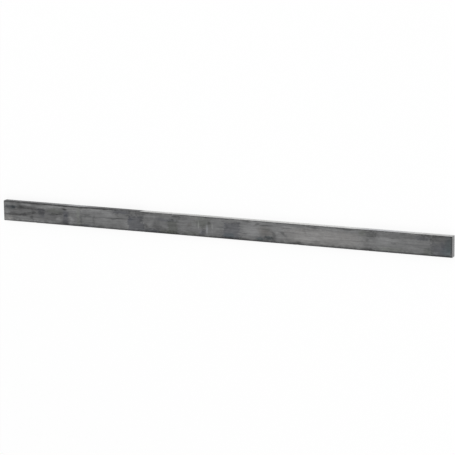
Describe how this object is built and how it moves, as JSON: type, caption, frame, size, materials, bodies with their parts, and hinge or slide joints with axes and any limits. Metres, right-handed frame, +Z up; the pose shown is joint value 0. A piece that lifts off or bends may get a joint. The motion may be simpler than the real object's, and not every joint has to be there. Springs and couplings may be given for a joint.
{
  "type": "copper busbar",
  "caption": "Plain flat bar of tin-plated copper with rounded long edges and sawn ends, which carries current between the supports and terminals clamped to it.",
  "frame": {"origin": "centre of the lower broad face, which the bar rests on", "axes": "+X along the bar's length, +Y across its width, +Z up through its thickness"},
  "size_m": [0.695, 0.03, 0.01],
  "materials": {
    "tin_plate": "satin"
  },
  "bodies": {
    "root": {"busbar": "tin_plate"}
  },
  "joints": []
}
